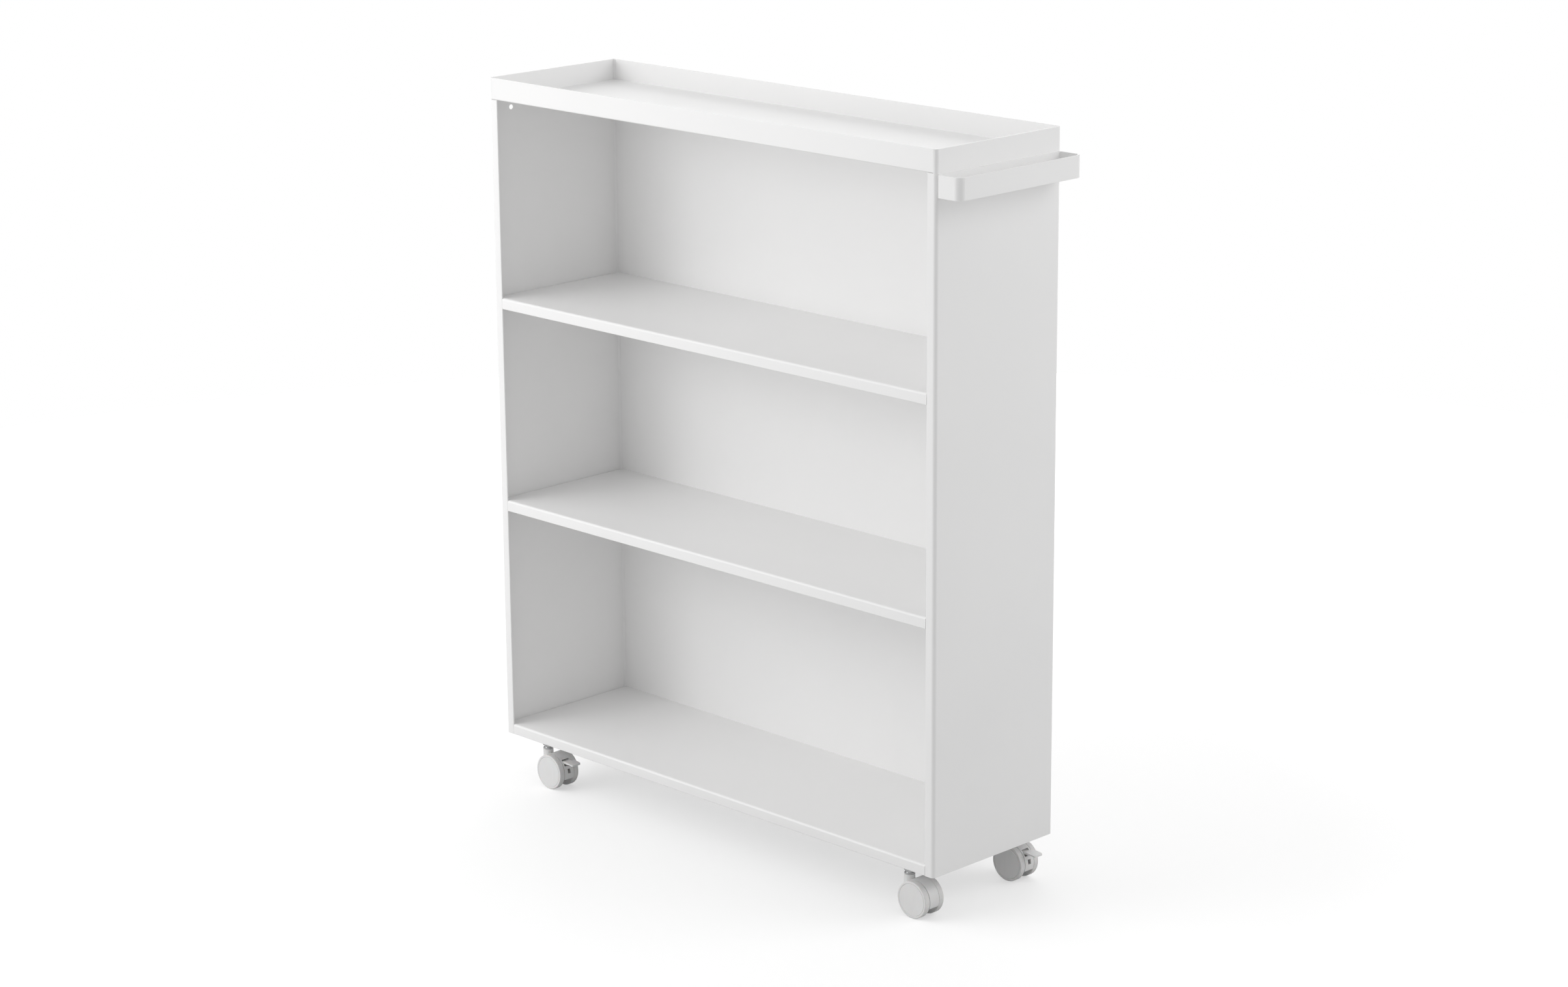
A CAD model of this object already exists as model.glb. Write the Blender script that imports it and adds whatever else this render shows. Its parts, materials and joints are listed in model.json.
"""Looks of a slim white book trolley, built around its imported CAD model. Metres, the CAD's own frame."""
import json
import math

import bmesh
import bpy
from mathutils import Matrix, Vector


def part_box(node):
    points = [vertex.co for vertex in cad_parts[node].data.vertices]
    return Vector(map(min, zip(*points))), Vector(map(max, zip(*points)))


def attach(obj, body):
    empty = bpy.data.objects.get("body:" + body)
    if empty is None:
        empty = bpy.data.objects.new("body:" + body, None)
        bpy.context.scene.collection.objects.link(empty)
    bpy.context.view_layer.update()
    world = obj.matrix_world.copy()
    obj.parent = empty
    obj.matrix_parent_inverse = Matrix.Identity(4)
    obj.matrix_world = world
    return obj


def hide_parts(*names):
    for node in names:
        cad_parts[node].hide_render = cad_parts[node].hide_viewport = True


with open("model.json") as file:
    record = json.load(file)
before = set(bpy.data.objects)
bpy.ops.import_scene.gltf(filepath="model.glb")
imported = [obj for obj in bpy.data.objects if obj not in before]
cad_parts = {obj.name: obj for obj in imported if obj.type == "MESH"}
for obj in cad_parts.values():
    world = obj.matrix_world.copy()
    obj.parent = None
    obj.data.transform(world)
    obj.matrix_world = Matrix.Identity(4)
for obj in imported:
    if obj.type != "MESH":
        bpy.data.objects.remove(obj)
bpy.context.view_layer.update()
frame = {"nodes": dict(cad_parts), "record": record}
scene = bpy.context.scene
nodes = frame["nodes"]
body_of = {n: b for b, ns in frame["record"]["behaviour"]["bodies"].items() for n in ns}

CASTERS = ("fl", "fr", "rl", "rr")
BRAKED = ("fl", "rr")


# Materials

class Tree:
    """A short way to write a material's or world's nodes."""

    def __init__(self, owner):
        owner.use_nodes = True
        self.tree = owner.node_tree
        self.tree.nodes.clear()

    def node(self, kind, **values):
        made = self.tree.nodes.new(kind)
        for name, value in values.items():
            setattr(made, name, value)
        return made

    def link(self, a, b):
        self.tree.links.new(a, b)
        return b

    def feed(self, socket, value):
        if isinstance(value, bpy.types.NodeSocket):
            self.tree.links.new(value, socket)
        else:
            socket.default_value = value

    def math(self, operation, a, b):
        made = self.node("ShaderNodeMath", operation=operation)
        for i, v in enumerate((a, b)):
            self.feed(made.inputs[i], v)
        return made.outputs[0]

    def mix(self, factor, a, b):
        made = self.node("ShaderNodeMix", data_type="RGBA", clamp_factor=True)
        self.feed(made.inputs["Factor"], factor)
        self.feed(made.inputs[6], a)
        self.feed(made.inputs[7], b)
        return made.outputs[2]

    def ramp(self, value, low, high, to_low=0.0, to_high=1.0):
        made = self.node("ShaderNodeMapRange", clamp=True)
        self.feed(made.inputs["Value"], value)
        for name, v in (("From Min", low), ("From Max", high), ("To Min", to_low), ("To Max", to_high)):
            made.inputs[name].default_value = v
        return made.outputs[0]

    def place(self):
        return self.node("ShaderNodeTexCoord").outputs["Object"]

    def stretch(self, vector, scale):
        made = self.node("ShaderNodeMapping")
        self.link(vector, made.inputs["Vector"])
        made.inputs["Scale"].default_value = scale
        return made.outputs[0]

    def noise(self, vector, scale, detail=2.0, roughness=0.5, distortion=0.0):
        made = self.node("ShaderNodeTexNoise")
        self.link(vector, made.inputs["Vector"])
        for name, v in (("Scale", scale), ("Detail", detail), ("Roughness", roughness),
                        ("Distortion", distortion)):
            made.inputs[name].default_value = v
        return made.outputs["Fac"]

    def bump(self, height, distance, strength=1.0, normal=None):
        made = self.node("ShaderNodeBump")
        self.link(height, made.inputs["Height"])
        made.inputs["Strength"].default_value = strength
        made.inputs["Distance"].default_value = distance
        if normal is not None:
            self.link(normal, made.inputs["Normal"])
        return made.outputs["Normal"]

    def edge(self):
        return self.node("ShaderNodeAttribute", attribute_name="edge").outputs["Fac"]


def principled(name, colour, roughness, normal=None, glow=None, **constants):
    """Builds a material; colour, roughness, normal and glow come from functions of its Tree."""
    made = bpy.data.materials.new(name)
    t = Tree(made)
    shader = t.node("ShaderNodeBsdfPrincipled")
    out = t.node("ShaderNodeOutputMaterial")
    t.link(shader.outputs[0], out.inputs["Surface"])
    t.feed(shader.inputs["Base Color"], colour(t))
    t.feed(shader.inputs["Roughness"], roughness(t))
    if normal:
        t.feed(shader.inputs["Normal"], normal(t))
    if glow:
        t.feed(shader.inputs["Emission Strength"], glow(t))
    for key, value in constants.items():
        shader.inputs[key.replace("_", " ")].default_value = value
    return made


def grey(v, warm=0.0):
    return (v + warm, v, v - warm, 1.0)


# Powder coat: a flat white with a faint orange peel, a little thinner and duller along sheared edges.
def coat_colour(t):
    p = t.place()
    cloudy = t.ramp(t.noise(p, 7.0, 3.0), 0.3, 0.7)
    base = t.mix(cloudy, grey(0.934, 0.002), grey(0.950, 0.003))
    fleck = t.ramp(t.noise(p, 1400.0, 1.0), 0.70, 0.76)
    base = t.mix(t.math("MULTIPLY", fleck, 0.10), base, grey(0.78, 0.004))
    rub = t.math("MULTIPLY", t.edge(), t.ramp(t.noise(p, 160.0, 4.0, 0.65), 0.42, 0.66))
    return t.mix(t.math("MULTIPLY", rub, 0.30), base, grey(0.76, 0.003))


def coat_roughness(t):
    p = t.place()
    patch = t.ramp(t.noise(p, 24.0, 4.0, 0.6), 0.3, 0.7, 0.40, 0.48)
    fine = t.ramp(t.noise(p, 900.0, 2.0), 0.35, 0.65, -0.025, 0.025)
    return t.math("ADD", t.math("ADD", patch, fine), t.math("MULTIPLY", t.edge(), 0.07))


def coat_normal(t):
    p = t.place()
    peel = t.bump(t.noise(p, 520.0, 2.0, 0.45), 0.00006, 0.55)
    return t.bump(t.noise(p, 2600.0, 2.0, 0.6), 0.000012, 0.6, peel)


coat = principled("coat_look", coat_colour, coat_roughness, coat_normal,
                  Coat_Weight=0.12, Coat_Roughness=0.28, Specular_IOR_Level=0.5)


# Moulded plastic of hoods, pedals and wheel cores: fine spark-eroded grain, brighter on edges.
def plastic_colour(t):
    p = t.place()
    flow = t.ramp(t.noise(t.stretch(p, (1.0, 1.0, 0.35)), 120.0, 3.0, 0.55, 0.6), 0.3, 0.7)
    base = t.mix(flow, grey(0.835, 0.004), grey(0.862, 0.004))
    return t.mix(t.math("MULTIPLY", t.edge(), 0.5), base, grey(0.885, 0.003))


def plastic_roughness(t):
    p = t.place()
    grain = t.ramp(t.noise(p, 1800.0, 3.0), 0.3, 0.7, 0.36, 0.46)
    return t.math("SUBTRACT", grain, t.math("MULTIPLY", t.edge(), 0.06))


def plastic_normal(t):
    p = t.place()
    return t.bump(t.noise(p, 3200.0, 3.0, 0.6), 0.00002, 0.5)


plastic = principled("plastic_look", plastic_colour, plastic_roughness, plastic_normal,
                     Subsurface_Weight=0.06, Subsurface_Scale=0.002, Specular_IOR_Level=0.5)


# Tread: softer and duller than the core, with faint grey scuffs where it rolls.
def tread_colour(t):
    p = t.place()
    base = t.mix(t.ramp(t.noise(p, 200.0, 3.0), 0.3, 0.7), grey(0.80, 0.006), grey(0.835, 0.006))
    rolls = t.node("ShaderNodeAttribute", attribute_name="rolls").outputs["Fac"]
    worn = t.math("MULTIPLY", rolls,
                  t.ramp(t.noise(t.stretch(p, (1.0, 5.0, 1.0)), 260.0, 5.0, 0.7, 0.8), 0.50, 0.72))
    return t.mix(t.math("MULTIPLY", worn, 0.30), base, grey(0.42, 0.008))


def tread_roughness(t):
    p = t.place()
    return t.ramp(t.noise(p, 700.0, 3.0), 0.3, 0.7, 0.50, 0.62)


def tread_normal(t):
    p = t.place()
    return t.bump(t.noise(p, 1500.0, 3.0, 0.6), 0.00003, 0.5)


tread = principled("tread_look", tread_colour, tread_roughness, tread_normal,
                   Subsurface_Weight=0.08, Subsurface_Scale=0.002, Specular_IOR_Level=0.4)


# Plated steel: bright, with fine turning marks and slightly duller patches.
def plated_colour(t):
    p = t.place()
    return t.mix(t.ramp(t.noise(p, 90.0, 3.0), 0.35, 0.7), grey(0.62, -0.006), grey(0.72, -0.004))


def plated_roughness(t):
    p = t.place()
    marks = t.ramp(t.noise(t.stretch(p, (30.0, 30.0, 900.0)), 4.0, 3.0), 0.3, 0.7, 0.16, 0.26)
    return t.math("ADD", marks, t.math("MULTIPLY", t.edge(), 0.06))


def plated_normal(t):
    p = t.place()
    return t.bump(t.noise(t.stretch(p, (40.0, 40.0, 1500.0)), 3.0, 2.0), 0.000006, 0.5)


plated = principled("plated_look", plated_colour, plated_roughness, plated_normal, Metallic=1.0)


# Pieces

MM = 0.001


# Corners this close are one, facets this flat are joined, and edges sharper than this are rounded
SAME_POINT, FLAT, SHARP = 0.002 * MM, math.radians(0.4), math.radians(26.0)
# Shares of a turned outline's sides that a rounding and the fade of its wear take, and the fade's limit
REACH, FADE, LONGEST_FADE = 0.42, 0.12, 0.6


def soften(bm, width, segments):
    """Joins flat facets, rounds every sharp edge and marks the new faces' corners with 1 in "edge"."""
    bmesh.ops.remove_doubles(bm, verts=bm.verts, dist=SAME_POINT)
    bmesh.ops.dissolve_limit(bm, angle_limit=FLAT, verts=bm.verts, edges=bm.edges)
    sharp = [e for e in bm.edges if len(e.link_faces) == 2 and e.calc_face_angle(0.0) > SHARP]
    layer = bm.loops.layers.float.new("edge")
    made = bmesh.ops.bevel(bm, geom=sharp, offset=width, offset_type="OFFSET", segments=segments,
                           profile=0.5, affect="EDGES", clamp_overlap=True)
    for face in made["faces"]:
        for loop in face.loops:
            loop[layer] = 1.0


def finished(bm, node, material):
    """Turns a bmesh into a smooth shaded piece that rides on its body and stands for a CAD node."""
    name = node + "_finish"
    mesh = bpy.data.meshes.new(name)
    for face in bm.faces:
        face.smooth = True
    bm.to_mesh(mesh)
    bm.free()
    piece = bpy.data.objects.new(name, mesh)
    scene.collection.objects.link(piece)
    normals = piece.modifiers.new("normals", "WEIGHTED_NORMAL")
    normals.mode, normals.weight, normals.keep_sharp = "FACE_AREA_WITH_ANGLE", 90, True
    graph = bpy.context.evaluated_depsgraph_get()
    solid = bpy.data.meshes.new_from_object(piece.evaluated_get(graph), preserve_all_data_layers=True,
                                            depsgraph=graph)
    piece.modifiers.clear()
    piece.data = solid
    bpy.data.meshes.remove(mesh)
    solid.name = name
    solid.materials.clear()
    solid.materials.append(material)
    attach(piece, body_of[node])
    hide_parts(node)


def from_node(node, material, width, segments=2):
    """A piece from a CAD node, its edges rounded."""
    bm = bmesh.new()
    bm.from_mesh(nodes[node].data)
    soften(bm, width, segments)
    finished(bm, node, material)


def from_outline(node, material, outline, places, steps, closed, rolls=None):
    """A piece turned from an outline, once at each of its places."""
    bm = bmesh.new()
    for place in places:
        turned(bm, outline, place, steps, closed, rolls)
    bmesh.ops.recalc_face_normals(bm, faces=bm.faces)
    finished(bm, node, material)


def rounded(corners, radius, closed, steps=4):
    """Rounds an outline of (radius, height) or (radius, height, rounding) corners.
    Gives (radius, height, worn) points; worn is 1 on the roundings and 0 on what lies between."""
    out = []
    last = len(corners) - 1
    for i, corner in enumerate(corners):
        r = corner[2] if len(corner) > 2 else radius
        b = Vector(corner[:2])
        if r == 0 or (not closed and i in (0, last)):
            out.append((*b, 0.0))
            continue
        a, c = Vector(corners[i - 1][:2]), Vector(corners[(i + 1) % len(corners)][:2])
        u, v = (a - b), (c - b)
        half = u.angle(v) / 2
        reach = min(r / math.tan(half), REACH * u.length, REACH * v.length)
        r = reach * math.tan(half)
        u, v = u.normalized(), v.normalized()
        centre = b + (u + v).normalized() * (r / math.sin(half))
        start, end = b + u * reach - centre, b + v * reach - centre
        fade = min(FADE * min((a - b).length, (c - b).length), LONGEST_FADE)
        out.append((*(b + u * (reach + fade)), 0.0))
        turn = start.angle_signed(end)
        for k in range(steps + 1):
            p = start.copy()
            p.rotate(Matrix.Rotation(-turn * k / steps, 2))
            out.append((*(centre + p), 1.0))
        out.append((*(b + v * (reach + fade)), 0.0))
    return out


def turned(bm, outline, place, steps, closed, rolls):
    """Revolves an outline in millimetres round z and places it; a closed outline's end meets its start.
    rolls is the radius beyond which corners get 1 in "rolls"."""
    worn = bm.loops.layers.float.get("edge") or bm.loops.layers.float.new("edge")
    contact = bm.loops.layers.float.get("rolls") or bm.loops.layers.float.new("rolls")
    rings = []
    for r, z, mark in outline:
        ring = []
        for k in range(steps if r > 0 else 1):
            a = 2 * math.pi * k / steps
            ring.append(bm.verts.new(place @ (Vector((r * math.cos(a), r * math.sin(a), z)) * MM)))
        rings.append(ring)
    values = {}
    for ring, (r, z, mark) in zip(rings, outline):
        for v in ring:
            values[v] = (mark, 1.0 if rolls and r > rolls else 0.0)
    pairs = list(zip(rings, rings[1:])) + ([(rings[-1], rings[0])] if closed else [])
    for low, high in pairs:
        for k in range(steps):
            corners = []
            near, far = k, k + 1
            for v in (low[near % len(low)], low[far % len(low)],
                      high[far % len(high)], high[near % len(high)]):
                if v not in corners:
                    corners.append(v)
            if len(corners) > 2:
                face = bm.faces.new(corners)
                for loop in face.loops:
                    loop[worn], loop[contact] = values[loop.vert]


def middle(node):
    low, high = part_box(node)
    return (low + high) / 2


# How far the edges of each kind of piece are rounded
SHEET_EDGE, STRIP_EDGE, SCREW_EDGE, NUT_EDGE, RING_EDGE = 0.22 * MM, 0.4 * MM, 0.12 * MM, 0.2 * MM, 0.1 * MM
HOOD_EDGE, PEDAL_EDGE = 0.5 * MM, 0.4 * MM
for name in ("side_panel_left", "side_panel_right", "back_panel", "top_tray", "upper_shelf", "lower_shelf",
             "bottom_shelf", "caster_rail_left", "caster_rail_right"):
    from_node(name, coat, SHEET_EDGE)
from_node("handle", coat, STRIP_EDGE)
from_node("handle_screws", plated, SCREW_EDGE)
from_node("caster_weld_nuts", plated, NUT_EDGE)


# Flat sides of a full turn
CORE_STEPS, TREAD_STEPS, AXLE_STEPS, SMALL_STEPS = 96, 128, 64, 48

# The handle's clinch nuts in millimetres, as in the part's source
NUT_BORE_R, NUT_SHANK_R, NUT_HEAD_R, NUT_SHANK_LEN, NUT_LEN = 2.53, 3.4, 4.4, 2.0, 4.0


def nut_places():
    """The frames of the two nuts, which lie apart in y; +z points along +X from a nut's shank."""
    low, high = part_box("handle_nuts")
    r = (high.z - low.z) / 2
    return [Matrix.Translation((low.x, y, low.z + r)) @ Matrix.Rotation(math.radians(90), 4, "Y")
            for y in (low.y + r, high.y - r)]


from_outline("handle_nuts", coat, rounded([
    (NUT_BORE_R, 0.0), (NUT_SHANK_R, 0.0), (NUT_SHANK_R, NUT_SHANK_LEN, 0), (NUT_HEAD_R, NUT_SHANK_LEN),
    (NUT_HEAD_R, NUT_LEN, 0.5), (NUT_BORE_R, NUT_LEN, 0.3),
], 0.1, True), nut_places(), SMALL_STEPS, True)

# Caster sizes in millimetres, as in the part's source
WHEEL_R, WHEEL_W, DRUM_R, DRUM_IN_R, FACE_GROOVE = 20.0, 7.0, 17.4, 14.9, 0.35
HUB_R, BORE_R, BORE_LEN, AXLE_R, WHEEL_Y = 5.0, 2.55, 5.6, 2.5, 7.0
SNAP_MID, SNAP_HALF, SNAP_R, RIB_MID, RIB_HALF, RIB_R = 2.8, 0.4, 2.25, 3.5, 1.1, 16.8
AXLE_SNAP_HALF, AXLE_SNAP_DEPTH, AXLE_END_GAP = 0.5, 0.3, 0.3
TREAD_GAP, TREAD_BACK, TREAD_RIB_HALF, TREAD_RIB_DEPTH, ROLLING_EDGE = 0.03, 0.1, 1.0, 0.5, 0.9
PIN_R = 1.25


def at_wheel(c, side):
    """The wheel's frame: z = 0 is its inner face, +z points away from the hood."""
    return (Matrix.Translation(middle("wheel_axle_" + c) + Vector((0, side * WHEEL_Y * MM, 0)))
            @ Matrix.Rotation(math.radians(-90 * side), 4, "X"))


def along_y(node):
    """The frame of a pin: its middle, with z along the trolley's depth."""
    return Matrix.Translation(middle(node)) @ Matrix.Rotation(math.radians(90), 4, "X")


def wheel_core(c, s, side):
    from_outline("wheel_core_" + c + "_" + s, plastic, rounded([
        (0.0, BORE_LEN), (0.0, WHEEL_W, 0), (DRUM_R - FACE_GROOVE, WHEEL_W, 0.12),
        (DRUM_R, WHEEL_W - FACE_GROOVE, 0),
        (DRUM_R, RIB_MID + RIB_HALF), (RIB_R, RIB_MID + RIB_HALF),
        (RIB_R, RIB_MID - RIB_HALF), (DRUM_R, RIB_MID - RIB_HALF),
        (DRUM_R, 0.0, 0.3), (DRUM_IN_R, 0.0, 0.3), (DRUM_IN_R, BORE_LEN, 0.6), (HUB_R, BORE_LEN, 0.6),
        (HUB_R, 0.0, 0.3), (BORE_R, 0.0, 0.2), (BORE_R, SNAP_MID - SNAP_HALF), (SNAP_R, SNAP_MID - SNAP_HALF),
        (SNAP_R, SNAP_MID + SNAP_HALF), (BORE_R, SNAP_MID + SNAP_HALF), (BORE_R, BORE_LEN, 0),
    ], 0.1, False), [at_wheel(c, side)], CORE_STEPS, False)


def wheel_tread(c, s, side):
    inner = DRUM_R + TREAD_GAP
    rib = inner - TREAD_RIB_DEPTH
    from_outline("wheel_tread_" + c + "_" + s, tread, rounded([
        (inner, TREAD_BACK, 0.1), (WHEEL_R, TREAD_BACK, 0.8), (WHEEL_R, WHEEL_W, 1.5),
        (inner + FACE_GROOVE, WHEEL_W, 0.12), (inner, WHEEL_W - FACE_GROOVE, 0.05),
        (inner, RIB_MID + TREAD_RIB_HALF), (rib, RIB_MID + TREAD_RIB_HALF),
        (rib, RIB_MID - TREAD_RIB_HALF), (inner, RIB_MID - TREAD_RIB_HALF),
    ], 0.1, True, 6), [at_wheel(c, side)], TREAD_STEPS, True, WHEEL_R - ROLLING_EDGE)


def wheel_axle(c):
    half, snap, waist = WHEEL_Y + BORE_LEN - AXLE_END_GAP, WHEEL_Y + SNAP_MID, AXLE_R - AXLE_SNAP_DEPTH
    side = [(0.0, half), (AXLE_R, half, 0.5), (AXLE_R, snap + AXLE_SNAP_HALF), (waist, snap + AXLE_SNAP_HALF),
            (waist, snap - AXLE_SNAP_HALF), (AXLE_R, snap - AXLE_SNAP_HALF)]
    mirrored = [(p[0], -p[1], *p[2:]) for p in reversed(side)]
    node = "wheel_axle_" + c
    from_outline(node, plated, rounded(side + mirrored, 0.08, False), [along_y(node)], AXLE_STEPS, False)


def brake_pin(c):
    node = "brake_pin_" + c
    low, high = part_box(node)
    half = (high.y - low.y) / 2 / MM
    outline = rounded([(0.0, -half), (PIN_R, -half, 0.2), (PIN_R, half, 0.2), (0.0, half)], 0.1, False)
    from_outline(node, plated, outline, [along_y(node)], SMALL_STEPS, False)


for c in CASTERS:
    wheel_axle(c)
    for s, side in (("front", -1), ("rear", 1)):
        wheel_core(c, s, side)
        wheel_tread(c, s, side)
    from_node("caster_stem_" + c, plated, NUT_EDGE)
    from_node("retaining_ring_" + c, plated, RING_EDGE)
    from_node("caster_hood_" + c, plastic, HOOD_EDGE, 3)
for c in BRAKED:
    from_node("brake_pedal_" + c, plastic, PEDAL_EDGE, 3)
    brake_pin(c)


# Stage, light and camera

def floor_glow(t):
    """Glow that makes the floor as white to the camera as the background, and throws no light back."""
    from_middle = t.node("ShaderNodeVectorMath", operation="LENGTH")
    t.link(t.place(), from_middle.inputs[0])
    seen = t.node("ShaderNodeLightPath").outputs["Is Camera Ray"]
    return t.math("MULTIPLY", seen, t.ramp(from_middle.outputs["Value"], 0.6, 2.1, 0.47, 0.75))


def plain_floor(radius):
    """A round pale floor; the camera sees an even white beyond it."""
    bm = bmesh.new()
    bmesh.ops.create_circle(bm, cap_ends=True, segments=128, radius=radius)
    mesh = bpy.data.meshes.new("floor")
    bm.to_mesh(mesh)
    bm.free()
    floor = bpy.data.objects.new("floor", mesh)
    scene.collection.objects.link(floor)
    pale = principled("floor_pale", lambda t: grey(0.60), lambda t: 0.9, None, floor_glow,
                      Emission_Color=grey(1.0))
    mesh.materials.append(pale)


FLOOR_R, TROLLEY_MIDDLE = 2.2, Vector((0.0, 0.0, 0.42))
plain_floor(FLOOR_R)


def softbox(name, direction, distance, size, power):
    """A square area light that lies in a direction from the trolley's middle and faces it."""
    light = bpy.data.lights.new(name, "AREA")
    light.shape, light.size, light.size_y = "RECTANGLE", size, size
    light.energy = power
    lamp = bpy.data.objects.new(name, light)
    away = Vector(direction).normalized()
    lamp.location = TROLLEY_MIDDLE + away * distance
    lamp.rotation_mode = "QUATERNION"
    lamp.rotation_quaternion = (-away).to_track_quat("-Z", "Y")
    lamp.visible_camera = False
    scene.collection.objects.link(lamp)


softbox("front_low", (-1.1, -1.5, 0.48), 1.921, 1.0, 1.4)
softbox("left_low", (-1.5, -0.9, 0.28), 1.772, 1.0, 2.1)
softbox("front_left", (-0.7, -1.65, 0.52), 2.0, 1.2, 8.5)
softbox("front_left_high", (-1.0, -1.0, 1.1), 3.3, 2.4, 22.0)
softbox("left", (-1.0, 0.0, 0.4), 3.3, 2.4, 6.0)
softbox("back_left", (-1.0, 1.0, 0.6), 3.3, 2.4, 22.0)
softbox("back_right_high", (1.0, 1.0, 0.5), 3.3, 2.4, 18.5)
softbox("back_right", (1.5, 0.9, 1.18), 2.11, 1.2, 5.9)


AMBIENT = 0.52


def studio_world():
    """Even white where the camera looks past the floor, and a soft grey light from all round."""
    world = bpy.data.worlds.new("studio")
    scene.world = world
    t = Tree(world)
    seen = t.node("ShaderNodeBackground")
    seen.inputs["Color"].default_value = (1.0, 1.0, 1.0, 1.0)
    out = t.node("ShaderNodeOutputWorld")
    past = t.node("ShaderNodeLightPath").outputs["Is Camera Ray"]
    t.link(t.ramp(past, 0.0, 1.0, AMBIENT, 1.0), seen.inputs["Strength"])
    t.link(seen.outputs[0], out.inputs["Surface"])


studio_world()
scene.view_settings.view_transform = "Standard"
scene.view_settings.look = "None"
scene.view_settings.exposure = 0.0
scene.view_settings.gamma = 1.0

camera = bpy.data.cameras.new("camera")
camera.sensor_width = 36.0
camera.lens = 84.563
camera.dof.use_dof = False
eye = bpy.data.objects.new("camera", camera)
scene.collection.objects.link(eye)
# Place and axes of the camera, solved from the cabinet's corners in the photo
PLACE, RIGHT, UP = (2.7133, -2.691, 1.4325), (0.70702, 0.70716, -0.00648), (-0.18257, 0.19138, 0.96439)
FORWARD = (-0.68322, 0.68066, -0.26442)
eye.matrix_world = Matrix.Translation(PLACE) @ Matrix(
    [[RIGHT[i], UP[i], -FORWARD[i]] for i in range(3)]).to_4x4()
scene.camera = eye
